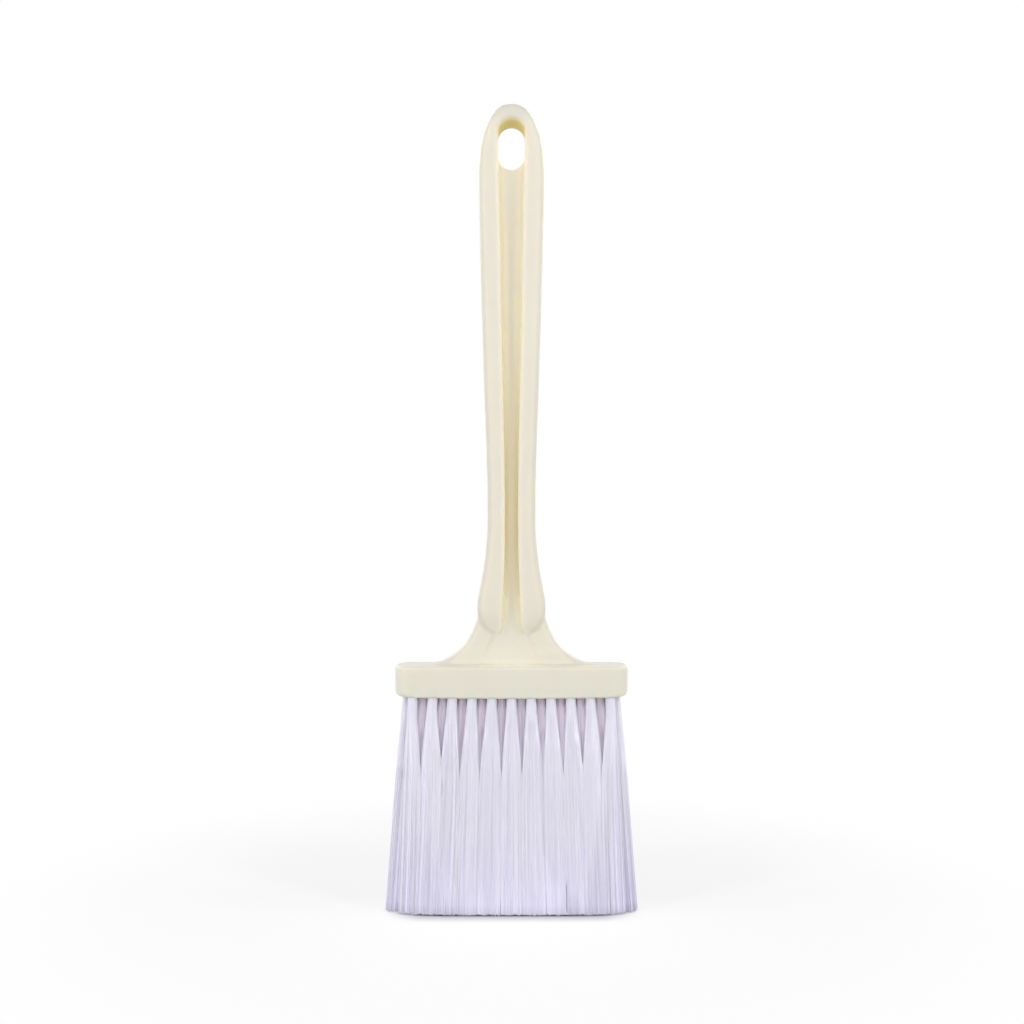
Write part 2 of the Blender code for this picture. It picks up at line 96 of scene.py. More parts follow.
# Handle
HANDLE_THICKNESS = 0.0130
RAIL_OUTER_ROUND = 0.0029
TIP_ROUND = 0.0013  # of the same edge, at a rail's point
RAIL_INNER_ROUND = 0.0016
GRIP_WIDTH = 0.0217
WAIST_WIDTH = 0.0158
BULGE_WIDTH = 0.0225
ARCH_SQUARENESS = 2.3
TIP_HEIGHT = 0.0103
TIP_LENGTH = 0.0089
TIP_REACH = 0.00545
TIP_BLUNT = 0.0011
TIP_OUTER_BEND = 2.4
TIP_INNER_BEND = 7.0
TIP_DROP = 0.0017  # how far a rail's faces fall at its point
WEB_THICKNESS = 0.0044
WEB_ROUND = 0.0009
SLOT_WIDTH = 0.0089
SLOT_HEIGHT = 0.0157
SLOT_BRIDGE = 0.0055
SLOT_DIP = 0.0056
GROOVE_WAIST_WIDTH = 0.0042
GROOVE_FOOT_WIDTH = 0.0064

# Foot
FOOT_THICKNESS = 0.0080
FOOT_ROUND = 0.0024
FOOT_HEIGHT = 0.0225
FLARE_RADIUS = 0.0203
FLARE_REACH = 0.0312
FLARE_SINK = 0.0005
FLARE_LEAN = math.radians(20.3)
PANEL_TOP_WIDTH = 0.0074
PANEL_TIP_WIDTH = 0.0110
PANEL_BASE_WIDTH = 0.0214
PANEL_TOP_THICKNESS = 0.0048
PANEL_BASE_THICKNESS = 0.0069
OVERRUN = 0.0020  # how far a shape goes on past where it is cut

# Fillets where one shape runs into another
RAIL_FILLET = 0.0008
TIP_FILLETS = (0.0007, 0.0014)  # where a rail runs out into the foot: at its point and at its outer side
PANEL_FILLET = 0.0013
BLOCK_FILLET = 0.0014

# How far the outline has gone from the waist's width to the bulge's or the grip's,
# at shares of the handle's length from its foot
WAIST_TO_BULGE_SHARES = (
    (0.100, 1.00), (0.113, 0.97), (0.132, 0.79), (0.150, 0.60), (0.176, 0.36), (0.203, 0.17),
)
WAIST_TO_GRIP_SHARES = (
    (0.250, 0.00), (0.300, 0.00), (0.380, 0.11), (0.470, 0.32), (0.560, 0.50), (0.736, 0.82), (0.870, 1.00),
)
WAIST_TO_FOOT_SHARES = (
    (0.050, 1.00), (0.080, 0.98), (0.116, 0.66), (0.151, 0.40), (0.204, 0.08),
)
WAIST_TO_SLOT_SHARES = (
    (0.290, 0.00), (0.379, 0.09), (0.467, 0.22), (0.555, 0.40), (0.730, 0.62), (0.850, 0.84), (0.900, 1.00),
)

# Points along the curves of the outlines
TIP_POINTS = 14
RAIL_POINTS = 120
ARCH_POINTS = 24
WEB_POINTS = 80
DIP_POINTS = 40
FLARE_POINTS = 60

# Cells of the grid that the moulding's skin is taken from
FINE_CELL = 0.00042
GRIP_CELL = 0.0011  # along the grip, where the shape changes slowly
GRID_MARGIN = 0.0012
OUTLINE_CELL = 0.0002
OUTLINE_MARGIN = 0.0048
LAST_CELL = 1.001  # keeps a place just inside the last cell
SETTLE_STEPS = 3
LEAST_SLOPE = 0.25

# Filaments
TUFT_DIAMETER = 0.0033
HOLE_CLEARANCE = 0.0001
HOLE_DEPTH = 0.0036  # no filament is seen further up
ROOT_SHARE = 0.9  # of that depth that the filaments start at
TIP_BAND = 0.0020  # a CAD tuft's strands end within this height
ROOT_BAND = 0.0010  # and the tuft starts within this one, from its top
FILAMENTS = 420
FILAMENT_RADIUS = 0.000085
FILAMENT_SIDES = 3
FILAMENT_STATIONS = 9
STATION_POWER = 1.5  # they are closer together near the block, where a tuft changes most
END_RING = 0.00012  # a last ring this far above an end keeps the end from bending the light above it
GOLDEN = 3 - math.sqrt(5)  # half turns from each point of a disc to the next
EDGE_SHARE = 0.08  # 0.5 spreads the filaments evenly over a tuft, less puts more of them near its surface
DISC_JITTER = 0.25  # over the square root of how many points there are
TINY = 1e-6
TIP_JITTER = 0.00012
WANDER = 0.00005  # sideways, halfway down
WISPS = 60  # small bundles that a tuft's filaments gather into near the tips
WISP_PULL_SHARE = 0.30
TIP_RAGGED = 0.00030  # how far a filament ends above the ground
WISP_RAGGED = 0.00035  # and how much further all of a wisp does

# Tufts
FAN_SHARE = 1.07  # of its cell that a tuft covers at the tips
FAN_VARIES = 0.06
LEAN = 0.00015  # of all of a tuft's tips, at random
CELL_SQUARENESS = 0.85
FIELD_SQUARENESS = 4.0  # of the outline of all the tips, seen from below
END_TUFTS = ("middle_01", "middle_12")
END_FAN = 1.9  # they reach round the corners of the field
# The middle row fills the gaps in front of it and behind it. Its inner tufts widen sooner along the row and
# further from front to back. The whole row widens from front to back by the shares that follow, at shares
# of the way to the tips
FILLING_POWER = 0.60
FILLING_FAN = 2.3
FILLING_SHARES = ((0.0, 0.22), (0.06, 0.32), (0.15, 0.46), (0.25, 0.66), (0.35, 0.82), (1.0, 1.0))
# How far a tuft has fanned out otherwise
SPLAY_SHARES = (
    (0.0, 0.0), (0.05, 0.05), (0.12, 0.22), (0.20, 0.42), (0.30, 0.66), (0.37, 0.80), (0.50, 0.88),
    (0.70, 0.95), (1.0, 1.0),
)

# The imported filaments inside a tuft, as one ribbed bundle
BUNDLE_SHARE = 0.985  # of the tuft's width
BUNDLE_SIDES = 110
BUNDLE_STATIONS = 14
BUNDLE_RIB = 0.011
BUNDLE_RIB_LIMIT = 0.03
BUNDLE_END = 0.0006  # height of its lower end above the ground
BUNDLE_RINGS = 9  # of ends, from its edge to its middle
BUNDLE_UNEVEN = 0.0030


def between(low, high, share):
    return low + (high - low) * share


def smooth_curve(points, places):
    """Values at places on a smooth curve through (place, value) points. It is level past both ends."""
    xs, ys = (np.array(column) for column in zip(*points))
    rises = np.diff(ys) / np.diff(xs)
    before, after = rises[:-1], rises[1:]
    same = before * after > 0
    inner = np.where(same, 2 * before * after / np.where(same, before + after, 1.0), 0.0)
    slopes = np.concatenate(([0.0], inner, [0.0]))
    places = np.clip(places, xs[0], xs[-1])
    i = np.clip(np.searchsorted(xs, places, side="right") - 1, 0, len(rises) - 1)
    run = xs[i + 1] - xs[i]
    t = (places - xs[i]) / run
    return (
        ys[i] * (1 + 2 * t) * (1 - t) ** 2
        + ys[i + 1] * t * t * (3 - 2 * t)
        + run * slopes[i] * t * (1 - t) ** 2
        - run * slopes[i + 1] * t * t * (1 - t)
    )


# Shapes as signed distances: negative inside, positive outside

def round_union(a, b, fillet):
    overlap = np.maximum(fillet - np.abs(a - b), 0.0) / fillet
    return np.minimum(a, b) - overlap**2 * fillet / 4


def round_cut(a, b, fillet):
    return -round_union(-a, b, fillet)


def other_side(side):
    """The left side of an outline, in the order that goes on from its right side."""
    return (side * np.array([-1.0, 1.0]))[::-1]


def rounded_slab(flat, depth, radius):
    """A plate with rounded edges, from its outline's distance and how far a point is past its face."""
    a, b = flat + radius, depth + radius
    return np.minimum(np.maximum(a, b), 0.0) + np.hypot(np.maximum(a, 0.0), np.maximum(b, 0.0)) - radius


def outline_distance(outline):
    """A function that gives the signed distance to a closed outline of (x, z) points."""
    points = np.array(outline)
    low, high = points.min(0) - OUTLINE_MARGIN, points.max(0) + OUTLINE_MARGIN
    xs = np.arange(low[0], high[0], OUTLINE_CELL)
    zs = np.arange(low[1], high[1], OUTLINE_CELL)
    x, z = np.meshgrid(xs, zs, indexing="ij")
    nearest = np.full(x.shape, np.inf)
    inside = np.zeros(x.shape, bool)
    for (ax, az), (bx, bz) in zip(points, np.roll(points, -1, axis=0)):
        run_x, run_z = bx - ax, bz - az
        length = run_x**2 + run_z**2
        if length == 0:
            continue
        t = np.clip(((x - ax) * run_x + (z - az) * run_z) / length, 0.0, 1.0)
        nearest = np.minimum(nearest, (x - ax - t * run_x) ** 2 + (z - az - t * run_z) ** 2)
        if run_z != 0:
            crosses = ((az > z) != (bz > z)) & (x < ax + (z - az) / run_z * run_x)
            inside ^= crosses
    signed = np.where(inside, -1.0, 1.0) * np.sqrt(nearest)

    def distance(px, pz):
        u = np.clip((px - xs[0]) / OUTLINE_CELL, 0, len(xs) - LAST_CELL)
        v = np.clip((pz - zs[0]) / OUTLINE_CELL, 0, len(zs) - LAST_CELL)
        i, j = u.astype(int), v.astype(int)
        u, v = u - i, v - j
        low_row = signed[i, j] * (1 - u) + signed[i + 1, j] * u
        high_row = signed[i, j + 1] * (1 - u) + signed[i + 1, j + 1] * u
        return low_row * (1 - v) + high_row * v

    return distance


class Moulding:
    """The handle and head block, as one signed distance."""

    def __init__(self, tufts):
        low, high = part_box(HANDLE)
        self.width, self.depth = high.x - low.x, high.y - low.y
        self.bottom = low.z
        self.block_top = low.z + BLOCK_HEIGHT
        self.top = high.z
        self.length = self.top - self.block_top
        self.tip_bottom = self.block_top + TIP_HEIGHT
        self.tip_top = self.tip_bottom + TIP_LENGTH
        self.grip_height = self.block_top + WAIST_TO_GRIP_SHARES[-1][0] * self.length
        self.slot_top = self.top - SLOT_BRIDGE
        self.slot_bottom = self.slot_top - SLOT_HEIGHT
        self.outer_curve = self.waist_curve(
            WAIST_WIDTH, BULGE_WIDTH, WAIST_TO_BULGE_SHARES, GRIP_WIDTH, WAIST_TO_GRIP_SHARES
        )
        self.groove_curve = self.waist_curve(
            GROOVE_WAIST_WIDTH, GROOVE_FOOT_WIDTH, WAIST_TO_FOOT_SHARES, SLOT_WIDTH, WAIST_TO_SLOT_SHARES
        )
        outside, inside = self.rail_outlines()
        self.rails_outside, self.rails_inside = outline_distance(outside), outline_distance(inside)
        self.web = outline_distance(self.web_outline())
        self.foot = outline_distance(self.foot_outline())
        self.tufts = tufts

    def waist_curve(self, waist, lower, lower_shares, upper, upper_shares):
        points = [(share, between(waist, lower, gone) / 2) for share, gone in lower_shares]
        points += [(share, between(waist, upper, gone) / 2) for share, gone in upper_shares]
        return [(self.block_top + share * self.length, half) for share, half in points]

    def outer_half_width(self, height):
        rise = np.clip((height - self.grip_height) / (self.top - self.grip_height), 0.0, 1.0)
        arch = GRIP_WIDTH / 2 * (1 - rise**ARCH_SQUARENESS) ** (1 / ARCH_SQUARENESS)
        return np.where(height < self.grip_height, smooth_curve(self.outer_curve, height), arch)

    def rail_outlines(self):
        """The outline round both rails and their arch, and the one of the groove and slot between them."""
        gone = np.linspace(1.0, 0.0, TIP_POINTS)[:, None]
        height = self.tip_top - TIP_LENGTH * gone
        widest = self.outer_half_width(np.array(self.tip_top))
        tip_outer = between(widest, TIP_REACH + TIP_BLUNT / 2, gone**TIP_OUTER_BEND)
        groove = smooth_curve(self.groove_curve, height)
        tip_inner = between(groove, TIP_REACH - TIP_BLUNT / 2, gone**TIP_INNER_BEND)
        arch_foot = self.slot_top - SLOT_WIDTH / 2
        rail = np.linspace(self.tip_top, arch_foot, RAIL_POINTS)[1:, None]
        inner = np.vstack((
            np.hstack((tip_inner, height)),
            np.hstack((smooth_curve(self.groove_curve, rail), rail)),
        ))
        turn = np.linspace(0.0, math.pi / 2, ARCH_POINTS)[1:, None]
        inner_arch = np.hstack((SLOT_WIDTH / 2 * np.cos(turn), arch_foot + SLOT_WIDTH / 2 * np.sin(turn)))
        outer_height = np.vstack((rail, between(arch_foot, self.top, np.sin(turn))))
        outer = np.vstack((
            np.hstack((tip_outer, height)),
            np.hstack((self.outer_half_width(outer_height), outer_height)),
        ))
        inner = np.vstack((inner[:1] - np.array([0.0, OVERRUN]), inner, inner_arch))
        return [np.vstack((side, other_side(side))) for side in (outer, inner)]

    def web_outline(self):
        high = self.slot_bottom + SLOT_DIP
        height = np.linspace(self.tip_bottom, high, WEB_POINTS)[:, None]
        side = np.hstack((
            (self.outer_half_width(height) + smooth_curve(self.groove_curve, height)) / 2, height
        ))
        turn = np.linspace(0.0, math.pi, DIP_POINTS)[:, None]
        dip = np.hstack((SLOT_WIDTH / 2 * np.cos(turn), high - SLOT_DIP * np.sin(turn)))
        return np.vstack((side, dip, other_side(side)))

    def foot_outline(self):
        centre = self.block_top - FLARE_SINK + FLARE_RADIUS
        turn = np.linspace(math.pi / 2, FLARE_LEAN, FLARE_POINTS)[:, None]
        flare = np.hstack((FLARE_REACH - FLARE_RADIUS * np.cos(turn), centre - FLARE_RADIUS * np.sin(turn)))
        x, height = flare[-1]
        top = self.block_top + FOOT_HEIGHT
        head = np.array([[x - (top - height) * math.tan(FLARE_LEAN), top]])
        base = np.array([[FLARE_REACH, self.block_top - OVERRUN]])
        side = np.vstack((base, flare, head))
        return np.vstack((side, other_side(side)))

    def block_distance(self, x, y, z):
        across = np.abs(x) - (self.width / 2 - BLOCK_CORNER)
        deep = np.abs(y) - (self.depth / 2 - BLOCK_CORNER)
        plan = (
            np.minimum(np.maximum(across, deep), 0.0)
            + np.hypot(np.maximum(across, 0.0), np.maximum(deep, 0.0))
            - BLOCK_CORNER
        )
        underside = self.bottom + BLOCK_CROWN * (2 * x / self.width) ** 2
        upper = rounded_slab(plan, z - self.block_top, BLOCK_TOP_ROUND)
        at_end = np.clip(across / BLOCK_CORNER, 0.0, 1.0)
        lower = rounded_slab(plan, underside - z, between(BLOCK_FRONT_ROUND, BLOCK_END_ROUND, at_end))
        return np.maximum(upper, lower)

    def foot_distance(self, x, y, z):
        plate = rounded_slab(self.foot(x, z), np.abs(y) - FOOT_THICKNESS / 2, FOOT_ROUND)
        high = self.block_top + FOOT_HEIGHT + OVERRUN
        heights = [self.block_top, self.tip_bottom, high]
        half_width = np.interp(z, heights, [PANEL_BASE_WIDTH / 2, PANEL_TIP_WIDTH / 2, PANEL_TOP_WIDTH / 2])
        near = np.interp(z, [heights[0], high], [PANEL_BASE_THICKNESS / 2, PANEL_TOP_THICKNESS / 2])
        panel = round_cut(np.abs(x) - half_width, np.abs(y) - near, PANEL_FILLET)
        return round_cut(plate, panel, PANEL_FILLET)

    def rail_distance(self, x, y, z):
        fallen = np.clip((self.tip_top - z) / TIP_LENGTH, 0.0, 1.0)
        half = HANDLE_THICKNESS / 2 - TIP_DROP * fallen**2
        edge = between(RAIL_OUTER_ROUND, TIP_ROUND, fallen)
        outside = rounded_slab(self.rails_outside(x, z), np.abs(y) - half, edge)
        inside = rounded_slab(-self.rails_inside(x, z), np.abs(y) - half, RAIL_INNER_ROUND)
        return np.maximum(outside, inside)

    def cut_holes(self, body, x, y, z):
        near = z < self.bottom + HOLE_DEPTH + OVERRUN
        if not near.any():
            return body
        body = body.copy()
        points = np.stack((x[near], y[near], z[near]), axis=-1)
        found = body[near]
        radius = TUFT_DIAMETER / 2 + HOLE_CLEARANCE
        for tuft in self.tufts:
            offset = points - tuft["mouth"]
            along = offset @ tuft["down"]
            across = np.linalg.norm(offset - along[:, None] * tuft["down"], axis=-1)
            hole = np.maximum(across - radius, -along - HOLE_DEPTH)
            found = np.maximum(found, -hole)
        body[near] = found
        return body

    def distance(self, x, y, z):
        web = rounded_slab(self.web(x, z), np.abs(y) - WEB_THICKNESS / 2, WEB_ROUND)
        body = round_union(web, self.foot_distance(x, y, z), RAIL_FILLET)
        broad = np.interp(np.abs(x), (TIP_REACH, BULGE_WIDTH / 2), TIP_FILLETS)
        low = np.interp(z, (self.tip_bottom, self.tip_top + TIP_LENGTH), (1.0, 0.0))
        fillet = between(RAIL_FILLET, broad, low)
        body = round_union(body, self.rail_distance(x, y, z), fillet)
        body = round_union(body, self.block_distance(x, y, z), BLOCK_FILLET)
        return self.cut_holes(body, x, y, z)


# The moulding's skin

def grid_axes(moulding):
    half_x, half_y = moulding.width / 2 + GRID_MARGIN, moulding.depth / 2 + GRID_MARGIN
    xs = np.linspace(-half_x, half_x, 2 * round(half_x / FINE_CELL) + 2)
    ys = np.linspace(-half_y, half_y, 2 * round(half_y / FINE_CELL) + 2)
    grip_start = moulding.tip_top + TIP_LENGTH
    grip_end = moulding.slot_bottom - SLOT_DIP
    zs = np.concatenate((
        np.arange(moulding.bottom - GRID_MARGIN, grip_start, FINE_CELL),
        np.arange(grip_start, grip_end, GRIP_CELL),
        np.arange(grip_end, moulding.top + GRID_MARGIN, FINE_CELL),
    ))
    return xs, ys, zs


def skin_of(values, axes):
    """Vertices and four-sided faces of the zero surface of a grid of signed distances."""
    inside = values < 0
    cells = tuple(n - 1 for n in values.shape)
    total = np.zeros(cells + (3,))
    count = np.zeros(cells)
    crossings = []
    for axis in range(3):
        low = [slice(None)] * 3
        high = [slice(None)] * 3
        low[axis], high[axis] = slice(None, -1), slice(1, None)
        low, high = tuple(low), tuple(high)
        crossed = np.argwhere(inside[low] != inside[high])
        ends = crossed.copy()
        ends[:, axis] += 1
        a, b = values[tuple(crossed.T)], values[tuple(ends.T)]
        share = a / (a - b)
        point = np.stack([axes[k][crossed[:, k]] for k in range(3)], axis=-1)
        point[:, axis] += share * (axes[axis][ends[:, axis]] - axes[axis][crossed[:, axis]])
        others = [k for k in range(3) if k != axis]
        around = []
        for step_a, step_b in ((0, 0), (-1, 0), (-1, -1), (0, -1)):
            cell = crossed.copy()
            cell[:, others[0]] += step_a
            cell[:, others[1]] += step_b
            np.add.at(total, tuple(cell.T), point)
            np.add.at(count, tuple(cell.T), 1.0)
            around.append(cell)
        crossings.append((axis, inside[tuple(crossed.T)], around))
    used = count > 0
    number = np.full(cells, -1)
    number[used] = np.arange(used.sum())
    vertices = total[used] / count[used][:, None]
    faces = []
    for axis, starts_inside, around in crossings:
        quads = np.stack([number[tuple(cell.T)] for cell in around], axis=-1)
        turned = starts_inside if axis == 1 else ~starts_inside
        quads[turned] = quads[turned][:, ::-1]
        faces.append(quads)
    return vertices, np.vstack(faces)


def settle(vertices, distance):
    """Moves vertices on to the true surface."""
    step = FINE_CELL / 4
    for _ in range(SETTLE_STEPS):
        slope = np.zeros_like(vertices)
        for axis in range(3):
            ahead, behind = vertices.copy(), vertices.copy()
            ahead[:, axis] += step
            behind[:, axis] -= step
            slope[:, axis] = (distance(*ahead.T) - distance(*behind.T)) / (2 * step)
        size = np.maximum((slope**2).sum(1), LEAST_SLOPE)
        move = distance(*vertices.T)[:, None] * slope / size[:, None]
        vertices = vertices - np.clip(move, -FINE_CELL / 2, FINE_CELL / 2)
    return vertices


def mesh_object(name, vertices, faces, material, flat_faces=0):
    """A smooth mesh, apart from its last faces, which are flat and leave their neighbours' light alone."""
    mesh = bpy.data.meshes.new(name)
    mesh.from_pydata(vertices.tolist(), [], faces)
    mesh.materials.append(material)
    smooth = np.ones(len(faces), bool)
    smooth[len(faces) - flat_faces:] = False
    mesh.polygons.foreach_set("use_smooth", smooth)
    mesh.update()
    thing = bpy.data.objects.new(name, mesh)
    bpy.context.scene.collection.objects.link(thing)
    return thing


def make_moulding(tufts, material):
    moulding = Moulding(tufts)
    axes = grid_axes(moulding)
    shape = tuple(len(axis) for axis in axes)
    values = np.empty(shape)
    for k, height in enumerate(axes[2]):
        x, y = np.meshgrid(axes[0], axes[1], indexing="ij")
        values[:, :, k] = moulding.distance(x, y, np.full(x.shape, height))
    vertices, faces = skin_of(values, axes)
    vertices = settle(vertices, moulding.distance)
    thing = mesh_object("moulded_handle", vertices, faces.tolist(), material)
    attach(thing, "root")
    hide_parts(HANDLE)


# Bristles

def read_tufts(nodes):
    """The mouth of each tuft's hole, the middle of its tips and half the size of its tips, from its node."""
    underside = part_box(HANDLE)[0].z
    tufts = []
    for name in sorted(nodes):
        if not name.startswith("tuft_"):
            continue
        points = np.array([vertex.co for vertex in nodes[name].data.vertices])
        heights = points[:, 2]
        top = points[heights > heights.max() - ROOT_BAND]
        tips = points[heights < TIP_BAND]
        low, high = tips.min(0), tips.max(0)
        end = (low + high) / 2
        end[2] = 0.0
        root = (top.min(0) + top.max(0)) / 2
        mouth = root + (end - root) * (root[2] - underside) / root[2]
        down = (end - mouth) / np.linalg.norm(end - mouth)
        tufts.append({
            "name": name, "mouth": mouth, "down": down, "tips": end, "cell": (high - low)[:2] / 2,
        })
    return tufts


def disc_points(rng, count):
    """Points of the unit disc, each a little out of its place."""
    i = np.arange(count) + 0.5
    reach = (i / count) ** EDGE_SHARE
    turn = i * math.pi * GOLDEN + rng.uniform(0, 2 * math.pi)
    points = np.stack((reach * np.cos(turn), reach * np.sin(turn)), axis=-1)
    points = points + rng.normal(0.0, DISC_JITTER / math.sqrt(count), points.shape)
    return points / np.maximum(np.linalg.norm(points, axis=1, keepdims=True), 1.0)


def fan_out(disc, tuft):
    """Where points of a tuft's disc come to at the tips. The outline of all the tips has rounded corners."""
    largest = np.maximum(np.abs(disc).max(-1, keepdims=True), TINY)
    reach = np.linalg.norm(disc, axis=-1, keepdims=True)
    ends = tuft["tips"][:2] + disc * (reach / largest) ** CELL_SQUARENESS * tuft["fan"]
    past = (np.abs(ends / tuft["field"]) ** FIELD_SQUARENESS).sum(-1, keepdims=True) ** (1 / FIELD_SQUARENESS)
    return ends / np.maximum(past, 1.0)


def at_share(tuft, root, end, share):
    """Where filaments are at a share of the way down, from their places in the hole and among the tips."""
    gone = float(smooth_curve(SPLAY_SHARES, share))
    forward = float(smooth_curve(FILLING_SHARES, share)) if "middle" in tuft["name"] else gone
    fanned = np.array([gone ** tuft["sooner"], forward])
    middle = between(tuft["mouth"][:2], tuft["tips"][:2], share)
    side = between(tuft["mouth_field"], tuft["field"], share)
    return np.clip(middle + between(root, end - tuft["tips"][:2], fanned), -side, side)


def start_of(tuft):
    """Middle of a tuft's upper end, in its hole."""
    return tuft["mouth"] - tuft["down"] * HOLE_DEPTH * ROOT_SHARE


def filament_paths(tuft, rng):
    """Points down each filament of a tuft: an array of filaments by stations by 3."""
    disc = disc_points(rng, FILAMENTS)
    inside = start_of(tuft)
    root = disc * (TUFT_DIAMETER / 2 - FILAMENT_RADIUS)
    end = fan_out(disc, tuft) + rng.normal(0.0, TIP_JITTER, disc.shape)
    wisps = end[rng.choice(FILAMENTS, WISPS, replace=False)]
    gaps = np.linalg.norm(end[:, None, :] - wisps[None], axis=-1)
    nearest = gaps.argmin(1)
    pulled = between(end, wisps[nearest], WISP_PULL_SHARE)
    bow = rng.normal(0.0, WANDER, (FILAMENTS, 2))
    ragged = np.abs(rng.normal(0.0, TIP_RAGGED, FILAMENTS))
    ragged = ragged + np.abs(rng.normal(0.0, WISP_RAGGED, WISPS))[nearest]
    stations = np.linspace(0.0, 1.0, FILAMENT_STATIONS) ** STATION_POWER
    shares = np.insert(stations, -1, 1 - END_RING / tuft["mouth"][2])
    paths = np.zeros((FILAMENTS, len(shares) + 1, 3))
    paths[:, 0, :2] = inside[:2] + root
    paths[:, 0, 2] = inside[2]
    for k, share in enumerate(shares):
        toward = between(end, pulled, share**2)
        paths[:, k + 1, :2] = at_share(tuft, root, toward, share) + bow * math.sin(math.pi * share)
        paths[:, k + 1, 2] = between(tuft["mouth"][2], ragged, share)
    return paths


def tubes(paths, radius, rng):
    """Vertices, sides and end faces of one thin tube along each path."""
    count, stations, _ = paths.shape
    turn = np.arange(FILAMENT_SIDES) * 2 * math.pi / FILAMENT_SIDES
    turn = rng.uniform(0, 2 * math.pi, count)[:, None] + turn
    ring = np.stack((np.cos(turn), np.sin(turn), np.zeros_like(turn)), axis=-1) * radius
    vertices = (paths[:, :, None, :] + ring[:, None, :, :]).reshape(-1, 3)
    index = np.arange(count * stations * FILAMENT_SIDES).reshape(count, stations, FILAMENT_SIDES)
    following = np.roll(index, -1, axis=2)
    sides = np.stack((index[:, :-1], index[:, 1:], following[:, 1:], following[:, :-1]), axis=-1)
    return vertices, sides.reshape(-1, 4).tolist(), index[:, -1, ::-1].tolist()


def bundle(tuft, rng):
    """Vertices and faces of the ribbed bundle inside a tuft. Its lower end is as uneven as filament ends."""
    turn = np.arange(BUNDLE_SIDES) * 2 * math.pi / BUNDLE_SIDES
    rib = np.clip(rng.normal(0.0, BUNDLE_RIB, BUNDLE_SIDES), -BUNDLE_RIB_LIMIT, BUNDLE_RIB_LIMIT)
    disc = np.stack((np.cos(turn), np.sin(turn)), axis=-1) * (BUNDLE_SHARE + rib)[:, None]
    root = disc * TUFT_DIAMETER / 2
    end = fan_out(disc, tuft)
    inside = start_of(tuft)
    rings = [np.column_stack((inside[:2] + root, np.full(BUNDLE_SIDES, inside[2])))]
    last = 1 - BUNDLE_END / tuft["mouth"][2]
    stations = np.linspace(0.0, last, BUNDLE_STATIONS) ** STATION_POWER
    shares = np.insert(stations * last / stations[-1], -1, last - END_RING / tuft["mouth"][2])
    for share in shares:
        height = np.full(BUNDLE_SIDES, between(tuft["mouth"][2], 0.0, share))
        rings.append(np.column_stack((at_share(tuft, root, end, share), height)))
    edge = rings[-1]
    middle = edge.mean(0)
    for k in range(1, BUNDLE_RINGS + 1):
        ring = between(edge, middle, k / (BUNDLE_RINGS + 1))
        ring[:, 2] += rng.uniform(0.0, 1.0, BUNDLE_SIDES) * BUNDLE_UNEVEN
        rings.append(ring)
    index = np.arange(len(rings) * BUNDLE_SIDES).reshape(len(rings), BUNDLE_SIDES)
    following = np.roll(index, -1, axis=1)
    sides = np.stack((index[:-1], index[1:], following[1:], following[:-1]), axis=-1)
    sides = sides.reshape(-1, 4).tolist()
    lower_faces = BUNDLE_RINGS * BUNDLE_SIDES
    faces = sides[:-lower_faces] + [index[0].tolist()] + sides[-lower_faces:] + [index[-1, ::-1].tolist()]
    return np.vstack(rings), faces, lower_faces + 1


def make_tuft(tuft, rng, fibre, packed):
    """A tuft's filaments and the bundle inside it. A power below 1 in sooner fans it out nearer the block."""
    tuft["fan"] = tuft["cell"] * FAN_SHARE * (1 + abs(rng.normal(0.0, FAN_VARIES)))
    tuft["sooner"] = 1.0
    if tuft["name"].endswith(END_TUFTS):
        tuft["fan"][1] *= END_FAN
    elif "middle" in tuft["name"]:
        tuft["fan"][1] *= FILLING_FAN
        tuft["sooner"] = FILLING_POWER
    tuft["tips"] = tuft["tips"] + np.append(rng.normal(0.0, LEAN, 2), 0.0)
    vertices, sides, ends = tubes(filament_paths(tuft, rng), FILAMENT_RADIUS, rng)
    name = tuft["name"].replace("tuft", "filaments")
    filaments = mesh_object(name, vertices, sides + ends, fibre, len(ends))
    vertices, faces, lower_faces = bundle(tuft, rng)
    inside = mesh_object(tuft["name"].replace("tuft", "bundle"), vertices, faces, packed, lower_faces)
    for piece in (filaments, inside):
        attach(piece, "root")
        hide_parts(tuft["name"])


# Materials

WHITE = (1.0, 1.0, 1.0)
BLACK = (0.0, 0.0, 0.0)

# Ivory plastic
CLOUD_NOISE = {"Scale": 45.0, "Detail": 3.0, "Roughness": 0.5}
CLOUD_SHADES = ((0.30, (0.917, 0.867, 0.744)), (0.70, (0.938, 0.888, 0.764)))
CLOUD_SPAN = (0.3, 0.7)
IVORY_ROUGHNESS = (0.40, 0.46)  # at the two ends of that span
GRAIN_NOISE = {"Scale": 2600.0, "Detail": 2.0, "Roughness": 0.5}
GRAIN_BUMP = {"Strength": 0.04, "Distance": 0.0002}
IVORY_FINISH = {
    "IOR": 1.49,
    "Subsurface Weight": 0.50,
    "Subsurface Radius": (1.0, 0.55, 0.20),
    "Subsurface Scale": 0.0025,
}

# Painted light and shade, multiplied into its colour at shares of open view from a point: deeper and warmer
# in its hollows, greyer on its most open faces, and darker and yellower in the narrow creases between its
# parts
VIEW_SAMPLES = 8
RECESS_REACH = 0.015
RECESS_PAINTED_LIGHT = (
    (0.25, (0.76, 0.66, 0.28)), (0.45, (0.99, 0.960, 0.83)), (0.62, (1.00, 1.00, 0.98)),
    (0.80, (0.880, 0.883, 0.885)), (0.95, (0.835, 0.837, 0.840)),
)
CREASE_REACH = 0.0022
CREASE_PAINTED_SHADE = ((0.45, (0.90, 0.85, 0.68)), (0.85, WHITE))

# Painted shade inside the arch of the slot: a deep amber, as of light that has come through the plastic
SLOT_PAINTED_AMBER = (0.84, 0.71, 0.12)
SLOT_BAND = (-0.002, 0.002)  # comes in between these heights from the middle of the arch
SLOT_VIEWS = (0.85, 0.55)  # and these shares of open view
